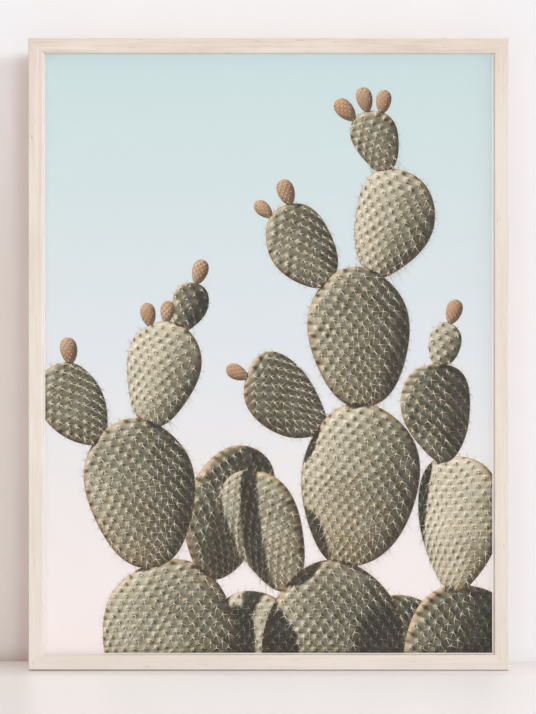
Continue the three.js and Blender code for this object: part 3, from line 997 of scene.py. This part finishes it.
def draw_spines(spines, shell, solid, settings, layers, dice):
    """Draws the tufts of one shell: on its face, each with its shadow, and along its rim."""
    depth, step = layer_depth(shell.layer, layers)
    spine_y, shadow_y, thin = depth - 0.40 * step, depth - 0.24 * step, 0.05 * step
    pitch = tuft_spacing(shell, settings)
    half_width, half_length = shell.width / 2 / pitch, shell.length / 2 / (pitch * ROW_PITCH)
    size = settings.spine * min(1.0, 0.35 + shell.length / (200 * MM)) * (FRUIT_SPINE if shell.fruit else 1)
    toward = Vector((0, -1, 0))

    def surface(across, along):
        through = -math.sqrt(max(0.0, 1 - across * across - along * along))
        return shell.point((across, through, along))

    def tuft(across, along):
        """Draws a tuft: a spine down, one to each side and, on a pad, one up. In the sun, those on a pad
        cast shadows, but for the last."""
        place = surface(across, along)
        sideways = surface(across + 0.02, along) - place
        upward = surface(across, along + 0.02) - place
        normal = sideways.cross(upward).normalized()
        if normal.dot(toward) < 0:
            normal = -normal
        if normal.dot(toward) < 0.15:
            return
        sideways.normalize()
        upward.normalize()
        start = place + normal * 2.5 * MM
        lit = normal.dot(SUN) > 0.08 and solid.ray_cast(start, SUN, SUN_REACH)[0] is None
        for number in range(3 if shell.fruit else 4):
            turns = (dice.uniform(-28, 28), dice.uniform(35, 80), dice.uniform(-80, -35), 180)
            angle = math.radians(-90 + turns[number])
            flat = sideways * math.cos(angle) + upward * math.sin(angle)
            reach = size * dice.uniform(0.75, 1.15) * (1.0, 0.7, 0.7, 0.45)[number]
            tip = place + (flat * LIE + normal * RISE).normalized() * reach
            spines.add("lit" if lit else "dark", place, tip, SPINE_WIDTH, spine_y, thin)
            if lit and number < 3 and not shell.fruit:
                fall = tip - SUN * (reach * RISE / max(0.25, normal.dot(SUN)))
                spines.add("shadow", place, place.lerp(fall, 0.8), SHADOW_WIDTH, shadow_y, thin)

    for row in range(-int(half_length), int(half_length) + 1):
        for column in range(-int(half_width) - 1, int(half_width) + 2):
            across = (column + 0.5 * (row % 2)) / half_width
            along = row / half_length
            if across * across + along * along <= FACE_TUFTS:
                tuft(across, along)
    steps = max(12, int(math.pi * (shell.width + shell.length) / 2 / (pitch * 0.8)))
    for number in range(steps):
        degrees = 360 * (number + dice.uniform(-0.2, 0.2)) / steps
        if abs(degrees - 180) < BARE_FOOT:
            continue
        place, inside = shell.rim(degrees, 0.985), shell.rim(degrees, 0.8)
        outwards = (place - inside).normalized()
        for _ in range(2 if shell.fruit else 3):
            turn = Matrix.Rotation(math.radians(dice.uniform(-42, 42)), 3, "Y")
            tip = place + turn @ outwards * size * dice.uniform(0.4, 0.8)
            spines.add("half", place, tip, RIM_SPINE_WIDTH, spine_y, thin)


class FRAMEDPRINT_OT_prickly_pear(Operator):
    """Print the prickly pear: its pads, its fruit and its spines"""

    bl_idname = "framed_print.prickly_pear"
    bl_label = "Printed prickly pear"

    def execute(self, context):
        settings = context.scene.framed_print_plant
        order = shells()
        layers = 1 + max(s.layer for s in order)
        solid = solid_shells(order)
        pads = [s for s in order if not s.fruit]
        fruits = [s for s in order if s.fruit]
        half = len(pads) // 2
        tones = (settings.dark, settings.dim, settings.middle, settings.bright, settings.sunlit)
        skin = printed_skin("printed_skin", tones, settings)
        flesh = printed_skin("printed_fruit_skin", (settings.fruit_dark, settings.fruit), settings, 0.0)
        printed_shells("printed_pads_far", pads[:half], layers, solid, settings, skin)
        printed_shells("printed_pads_near", pads[half:], layers, solid, settings, skin)
        printed_shells("printed_fruit", fruits, layers, solid, settings, flesh)
        spines = Spines(picture_area(context.scene.framed_print_picture))
        dice = random.Random(5)
        for shell in order:
            draw_spines(spines, shell, solid, settings, layers, dice)
        for tone, bm in spines.tones.items():
            outward(bm)
            ink = printed_ink(f"spine_ink_{tone}", getattr(settings, f"spine_{tone}"))
            finish_piece(f"printed_spines_{tone}", bm, ink)
        bpy.data.meshes.remove(spines.stroke)
        return {"FINISHED"}


# ---- Fittings on the back -------------------------------------------------------------------


class FRAMEDPRINT_OT_turn_buttons(Operator):
    """Make the six turn buttons, each on its own pivot"""

    bl_idname = "framed_print.turn_buttons"
    bl_label = "Turn buttons"

    def execute(self, context):
        settings = context.scene.framed_print_fittings
        material = plated_steel("zinc_plate", settings.zinc, 0.34)
        for label in BUTTONS:
            name, node, body = f"button_plate_{label}", f"turn_button_{label}", f"button_{label}"
            rounded_node(name, node, material, settings.edge * 1.5, 3, 50, body)
        return {"FINISHED"}


# The button screws' shanks. Then, for a head's height, how far its edge lies below its crown and how high the
# floor of its recess is, and how much the recess narrows.
SHANK_RADIUS = 1.4 * MM
EDGE_FALL, RECESS_HEIGHT, RECESS_TAPER = 0.42, 0.42, 0.72


def cross_head_screw(centre, head_radius, head_height, shank_radius, shank_length, turn):
    """A pan-head screw along -Y whose head has a cross recess."""
    bm = bmesh.new()
    bmesh.ops.create_grid(bm, x_segments=7, y_segments=7, size=1)
    lines = (-1, -0.72, -0.5, -0.15, 0.15, 0.5, 0.72, 1)
    for vert in bm.verts:
        x, y = (lines[round((c + 1) * 3.5)] for c in vert.co.xy)
        reach = max(abs(x), abs(y))
        away = math.hypot(x, y)
        blend = 0 if reach <= 0.5 else min(1, (reach - 0.5) / 0.3)
        scale = 1 if away == 0 else (1 - blend) + blend * reach / away
        vert.co = Vector((x * scale, y * scale, 0))
    for vert in bm.verts:
        dome = head_height * (1 - EDGE_FALL * min(1.0, vert.co.length) ** 3.2)
        vert.co = Vector((vert.co.x * head_radius, vert.co.y * head_radius, dome))
    arm, width = 0.5 * head_radius + 1e-6, 0.15 * head_radius + 1e-6
    cross = []
    for face in bm.faces:
        middle = face.calc_center_median()
        if (abs(middle.x) < width and abs(middle.y) < arm) or (abs(middle.y) < width and abs(middle.x) < arm):
            cross.append(face)
    grown = bmesh.ops.extrude_face_region(bm, geom=cross)
    bmesh.ops.delete(bm, geom=cross, context="FACES_ONLY")
    for vert in corners_of(grown):
        vert.co = Vector((vert.co.x * RECESS_TAPER, vert.co.y * RECESS_TAPER, head_height * RECESS_HEIGHT))
    shank = shank_radius / head_radius
    for share, height in ((1, 0), (shank, 0), (shank, -shank_length * 0.8), (0.08, -shank_length)):
        border = [e for e in bm.edges if e.is_boundary]
        for vert in corners_of(bmesh.ops.extrude_edge_only(bm, edges=border)):
            flat = Vector((vert.co.x, vert.co.y, 0)).normalized() * head_radius * share
            vert.co = Vector((flat.x, flat.y, height))
    bmesh.ops.edgeloop_fill(bm, edges=[e for e in bm.edges if e.is_boundary])
    outward(bm)
    for face in bm.faces:
        face.smooth = abs(face.normal.z) < 0.999 or face.calc_center_median().z > head_height * 0.5
    for edge in bm.edges:
        edge.smooth = len(edge.link_faces) == 2 and edge.calc_face_angle() < math.radians(48)
    place = Matrix.Translation(centre) @ Matrix.Rotation(-math.pi / 2, 4, "X") @ Matrix.Rotation(turn, 4, "Z")
    bmesh.ops.transform(bm, matrix=place, verts=bm.verts)
    return bm


class FRAMEDPRINT_OT_screws(Operator):
    """Make the cross-head screws that the turn buttons pivot on"""

    bl_idname = "framed_print.screws"
    bl_label = "Button screws"

    def execute(self, context):
        settings = context.scene.framed_print_fittings
        material = plated_steel("screw_zinc", settings.zinc, 0.3)
        dice = random.Random(11)
        whole = bmesh.new()
        for label in BUTTONS:
            low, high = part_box(f"button_screw_{label}")
            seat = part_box(f"turn_button_{label}")[1].y + RUNNING_GAP
            centre = Vector(((low.x + high.x) / 2, seat, (low.z + high.z) / 2))
            radius = (high.x - low.x) / 2
            turn = dice.uniform(0, math.pi)
            bm = cross_head_screw(centre, radius, high.y - seat, SHANK_RADIUS, seat - low.y, turn)
            screw = mesh_of("screw", bm)
            whole.from_mesh(screw)
            bpy.data.meshes.remove(screw)
        nodes = [f"button_screw_{label}" for label in BUTTONS]
        finish_piece("pivot_screws", whole, material, stands_for=nodes)
        return {"FINISHED"}


class FRAMEDPRINT_OT_hangers(Operator):
    """Make the sawtooth hangers and their nails"""

    bl_idname = "framed_print.hangers"
    bl_label = "Hangers and nails"

    def execute(self, context):
        settings = context.scene.framed_print_fittings
        material = plated_steel("brass_plate", settings.brass, 0.3, 0.2)
        pieces = (("sawtooth_hanger", "hanger", 2, 0.8), ("nail", "hanger_nail", 4, 0.7))
        for name, node, count, share in pieces:
            width = settings.edge * share
            for number in range(1, count + 1):
                rounded_node(f"{name}_{number}", f"{node}_{number}", material, width, 2, 40)
        return {"FINISHED"}


class FRAMEDPRINT_OT_bumpers(Operator):
    """Make the soft bumpers on the lower corners of the back"""

    bl_idname = "framed_print.bumpers"
    bl_label = "Bumpers"

    def execute(self, context):
        material = bumper_rubber(context.scene.framed_print_fittings)
        for number in (1, 2):
            name, node = f"wall_bumper_{number}", f"bumper_{number}"
            bm = merged_copy(node)
            for face in bm.faces:
                face.smooth = True
            for edge in sharp_edges(bm, 40):
                edge.smooth = False
            finish_piece(name, bm, material, stands_for=[node])
        return {"FINISHED"}


# ---- Stage ----------------------------------------------------------------------------------

# How far the floor lies under the frame's foot.
FLOOR_DROP = 0.7 * MM
FLOOR_SPAN = 36
WALL_SPAN, WALL_RISE = 8, 4


class RoomPaint(Finish):
    """Plain matt paint with a faint roller texture, with painted shade and painted light for the light that
    the frame keeps off near it.
    Places are given across, from front to back and up, in metres."""

    def __init__(self, name, colour, rough, specular):
        super().__init__(name)
        spot = self.place()
        self.x, self.y, self.z = self.split(spot)
        self.plain = linear(colour)
        self.near = self.fade(self.size(self.x), 0.55, 0.29)
        soft = self.remap(self.noise(spot, 6, 3), 0.3, 0.7)
        self.toned = self.mix(soft, self.plain, tone(self.plain, 0.992))
        self.set(Roughness=rough, Specular_IOR_Level=specular)

    def patch(self, factors, *shares):
        """Paints a patch of light or shade: lightens or darkens the paint by the factors where all the shares
        are near 1.
        """
        self.toned = self.mix(self.times(*shares), self.toned, tone(self.plain, *factors))

    def creased(self, shade, left, right):
        """The painted light that is left by a painted shade, which takes these parts of it at the frame's
        left and right.
        """
        depth = self.times(self.remap(self.x, LEFT, OUTER_HIGH.x, left, right), self.near)
        return self.less(1.0, self.times(shade, depth))

    def finish(self, light):
        """Puts the painted light and shade on the paint. It is a little warmer where there is less light."""
        warm = self.join(light, self.math("POWER", light, 1.2), self.math("POWER", light, 1.35))
        self.set(Base_Color=self.mix(1.0, self.toned, warm, "MULTIPLY"))


def floor_paint(settings):
    """Painted shade in the crease by the wall, a painted shadow at the frame's left, painted shade before its
    right end, and painted light before its middle."""
    paint = RoomPaint("floor_paint", settings.floor, 0.42, 0.25)
    wall = FRONT + settings.wall_gap
    # Painted shade towards the crease by the wall, deeper at the frame's left than at its right, and fading
    # sooner behind the wall.
    away = paint.less(paint.y, wall)
    away = paint.math("MAXIMUM", paint.times(away, 1.5), paint.times(away, -1))
    light = paint.creased(paint.remap(away, 0, 95 * MM, 1, 0), 0.41, 0.12)
    # A painted shadow on the floor beside the frame's left side, whose edge slants inwards towards the front.
    slanted = paint.add(paint.x, paint.times(paint.y, 0.12))
    beside = paint.times(
        paint.remap(slanted, LEFT - 12 * MM, LEFT + 10 * MM, 1, 0.5, "SMOOTHSTEP"),
        paint.fade(slanted, LEFT + 150 * MM, LEFT + 10 * MM),
        paint.fade(paint.y, -0.5, -0.27),
        paint.fade(paint.y, wall + 110 * MM, FRONT),
        paint.near,
    )
    light = paint.times(light, paint.remap(beside, 0, 1, 1, 0.87))
    # A painted pool of light in front of the frame's middle.
    from_middle = paint.size(paint.less(paint.x, 0.02))
    before = paint.fade(paint.y, -0.36, -0.14), paint.fade(paint.y, -0.02, -0.05)
    paint.patch((1.055,), paint.fade(from_middle, 0.21, 0.05), *before)
    # Painted shade in front of the frame's right end.
    paint.patch((0.957,), paint.fade(paint.x, 0.17, 0.24), paint.near, paint.fade(paint.y, -0.6, -0.3))
    paint.finish(light)
    return paint.material


def wall_paint(settings):
    """Painted light above the frame, painted shade beyond the frame's left side and painted shade at the
    wall's foot. Only the wall's front shows, so that light and the views from behind pass through."""
    paint = RoomPaint("wall_paint", settings.wall, 0.9, 0.2)
    # Painted light on the wall just above the frame.
    above = paint.math("POWER", paint.remap(paint.z, TOP + 8 * MM, TOP + 108 * MM, 1, 0), 2.5)
    middle = paint.fade(paint.size(paint.x), 0.27, 0.14)
    paint.patch((1.1,), above, paint.fade(paint.z, TOP - 30 * MM, TOP), middle)
    # Warm painted shade on the wall beyond the frame's left side.
    beyond = paint.fade(paint.x, -0.254, -0.268), paint.fade(paint.x, -0.50, -0.30)
    paint.patch((0.925, 0.91, 0.85), *beyond, paint.fade(paint.z, 0.60, 0.38))
    # Painted shade towards the crease at the wall's foot, deeper at the frame's left.
    paint.finish(paint.creased(paint.math("POWER", paint.remap(paint.z, 0, 26 * MM, 1, 0), 2.5), 0.30, 0.05))
    paths = paint.node("ShaderNodeLightPath").outputs
    polish = paint.times(paths["Is Glossy Ray"], paint.math("GREATER_THAN", paths["Ray Length"], 0.07))
    seen = paint.math("MAXIMUM", paths["Is Camera Ray"], polish)
    front = paint.less(1.0, paint.node("ShaderNodeNewGeometry").outputs["Backfacing"])
    clear = paint.node("ShaderNodeBsdfTransparent").outputs[0]
    mixed = (0, paint.times(seen, front)), (1, clear), (2, paint.shader.outputs[0])
    shown = paint.node("ShaderNodeMixShader", *mixed).outputs[0]
    paint.feed(paint.tree.nodes["Material Output"].inputs["Surface"], shown)
    return paint.material


def stage_plane(name, material, matrix, width, height):
    bm = bmesh.new()
    bmesh.ops.create_grid(bm, x_segments=1, y_segments=1, size=0.5)
    bmesh.ops.transform(bm, matrix=matrix @ Matrix.Diagonal((width, height, 1, 1)), verts=bm.verts)
    plane = finish_piece(name, bm, material, body=None)
    plane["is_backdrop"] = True
    return plane


def soft_daylight(settings):
    """Light from all round, stronger from above, against a plain pale background."""
    world = bpy.data.worlds.new("soft_daylight")
    world.use_nodes = True
    sky = Nodes(world.node_tree)
    rise = sky.split(sky.coordinates("Generated"))[2]
    background = sky.tree.nodes["Background"]
    sky.feed(background.inputs["Color"], (1, 0.9, 0.85))
    sky.feed(background.inputs["Strength"], sky.remap(rise, 0, 1, settings.horizon, settings.zenith))
    shown = background.outputs[0]
    paths = sky.node("ShaderNodeLightPath").outputs
    for kind, colour, strength in (
        ("Is Camera Ray", (0.939, 0.898, 0.887), 1.0),
        ("Is Glossy Ray", (0.90, 0.885, 0.875), sky.remap(rise, -0.1, 0.9, 0.75, 1.2)),
    ):
        plain = sky.node("ShaderNodeBackground", ("Color", colour), ("Strength", strength)).outputs[0]
        shown = sky.node("ShaderNodeMixShader", (0, paths[kind]), (1, shown), (2, plain)).outputs[0]
    sky.feed(sky.tree.nodes["World Output"].inputs["Surface"], shown)
    return world


def linked(name, objects, state):
    """A collection of objects that a light lights or spares."""
    chosen = bpy.data.collections.new(name)
    for item in objects:
        chosen.objects.link(item)
    for entry in chosen.collection_objects:
        entry.light_linking.link_state = state
    return chosen


def soft_sun(name, strength, colour, azimuth, elevation, spread, lit=(), spared=()):
    """A broad even light from that azimuth and elevation, in degrees. Azimuth 0 is from the front, 90 is
    from the right. It lights only the objects in lit, if there are any, and those in spared cast no shadow
    in it."""
    lamp = bpy.data.lights.new(name, "SUN")
    lamp.energy, lamp.color, lamp.angle = strength, colour, math.radians(spread)
    sun = bpy.data.objects.new(name, lamp)
    turn, rise = math.radians(azimuth), math.radians(elevation)
    flat = math.cos(rise)
    away = Vector((math.sin(turn) * flat, -math.cos(turn) * flat, math.sin(rise)))
    sun.location = MIDDLE + away * 2
    sun.rotation_euler = (-away).to_track_quat("-Z", "Y").to_euler()
    sun.visible_glossy = False
    bpy.context.scene.collection.objects.link(sun)
    if lit:
        sun.light_linking.receiver_collection = linked(f"{name}_lit", lit, "INCLUDE")
    if spared:
        sun.light_linking.blocker_collection = linked(f"{name}_spared", spared, "EXCLUDE")


class FRAMEDPRINT_OT_stage(Operator):
    """Set up the camera, the floor, the wall behind and the soft studio light"""

    bl_idname = "framed_print.stage"
    bl_label = "Stage"

    def execute(self, context):
        settings = context.scene.framed_print_stage
        scene = context.scene
        scene.view_settings.view_transform = "Standard"

        lens = bpy.data.cameras.new("camera")
        lens.lens = settings.focal
        lens.sensor_width = 36
        lens.clip_start, lens.clip_end = 0.05, 60
        camera = bpy.data.objects.new("camera", lens)
        camera.location = (settings.aside, FRONT - settings.distance, settings.height)
        camera.rotation_euler = (math.pi / 2, 0, 0)
        scene.collection.objects.link(camera)
        scene.camera = camera

        level = Matrix.Translation((0, 0, -FLOOR_DROP))
        middle = (0, FRONT + settings.wall_gap, WALL_RISE / 2)
        upright = Matrix.Translation(middle) @ Matrix.Rotation(math.pi / 2, 4, "X")
        room = [
            stage_plane("floor", floor_paint(settings), level, FLOOR_SPAN, FLOOR_SPAN),
            stage_plane("wall", wall_paint(settings), upright, WALL_SPAN, WALL_RISE),
        ]

        scene.world = soft_daylight(settings)

        rails = {f"wood_rail_{side}" for side, _, _ in SIDES}
        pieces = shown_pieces()
        spared = [p for p in pieces if p.name in rails] + room
        cool, overhead, on_room = (0.965, 1.0, 1.04), (0.95, 1.02, 1.04), (0.87, 1.13, 1.185)
        soft_sun("key", settings.key * 0.89, cool, settings.key_azimuth, 2, 16, pieces, spared)
        for number, turn in enumerate((20, 40, 60)):
            name, strength = f"key_on_room_{number}", settings.key * 0.295
            soft_sun(name, strength, on_room, turn, settings.key_elevation, 14, room)
        soft_sun("top", settings.top, overhead, 0, 88, 24, pieces, spared)
        soft_sun("top_on_room", settings.top * 0.9, overhead, 180, 89.5, 10, room)
        soft_sun("behind", settings.back, (1.0, 1.0, 1.0), 215, 38, 20, pieces)
        return {"FINISHED"}


# ---- Add-on ---------------------------------------------------------------------------------


class FRAMEDPRINT_PT_panel(Panel):
    """Lists the pieces of the framed print and their settings"""

    bl_idname = "FRAMEDPRINT_PT_panel"
    bl_label = "Framed print"
    bl_space_type = "VIEW_3D"
    bl_region_type = "UI"
    bl_category = "Framed print"

    def draw(self, context):
        for operator in OPERATORS:
            self.layout.operator(operator.bl_idname)
        for key, group in SETTINGS.items():
            box = self.layout.box()
            settings = getattr(context.scene, key)
            for name in group.__annotations__:
                box.prop(settings, name)


SETTINGS = {
    "framed_print_rails": RailSettings,
    "framed_print_picture": PictureSettings,
    "framed_print_plant": PlantSettings,
    "framed_print_fittings": FittingSettings,
    "framed_print_stage": StageSettings,
}
OPERATORS = (
    FRAMEDPRINT_OT_rails,
    FRAMEDPRINT_OT_corner_wedges,
    FRAMEDPRINT_OT_sheets,
    FRAMEDPRINT_OT_sky,
    FRAMEDPRINT_OT_prickly_pear,
    FRAMEDPRINT_OT_turn_buttons,
    FRAMEDPRINT_OT_screws,
    FRAMEDPRINT_OT_hangers,
    FRAMEDPRINT_OT_bumpers,
    FRAMEDPRINT_OT_stage,
)
CLASSES = (*SETTINGS.values(), *OPERATORS, FRAMEDPRINT_PT_panel)


def register():
    for entry in CLASSES:
        bpy.utils.register_class(entry)
    for key, group in SETTINGS.items():
        setattr(bpy.types.Scene, key, PointerProperty(type=group))


def unregister():
    for key in SETTINGS:
        delattr(bpy.types.Scene, key)
    for entry in reversed(CLASSES):
        bpy.utils.unregister_class(entry)


def main():
    register()
    bpy.ops.framed_print.rails()
    bpy.ops.framed_print.corner_wedges()
    bpy.ops.framed_print.sheets()
    bpy.ops.framed_print.sky()
    bpy.ops.framed_print.prickly_pear()
    bpy.ops.framed_print.turn_buttons()
    bpy.ops.framed_print.screws()
    bpy.ops.framed_print.hangers()
    bpy.ops.framed_print.bumpers()
    bpy.ops.framed_print.stage()


if __name__ == "__main__":
    main()
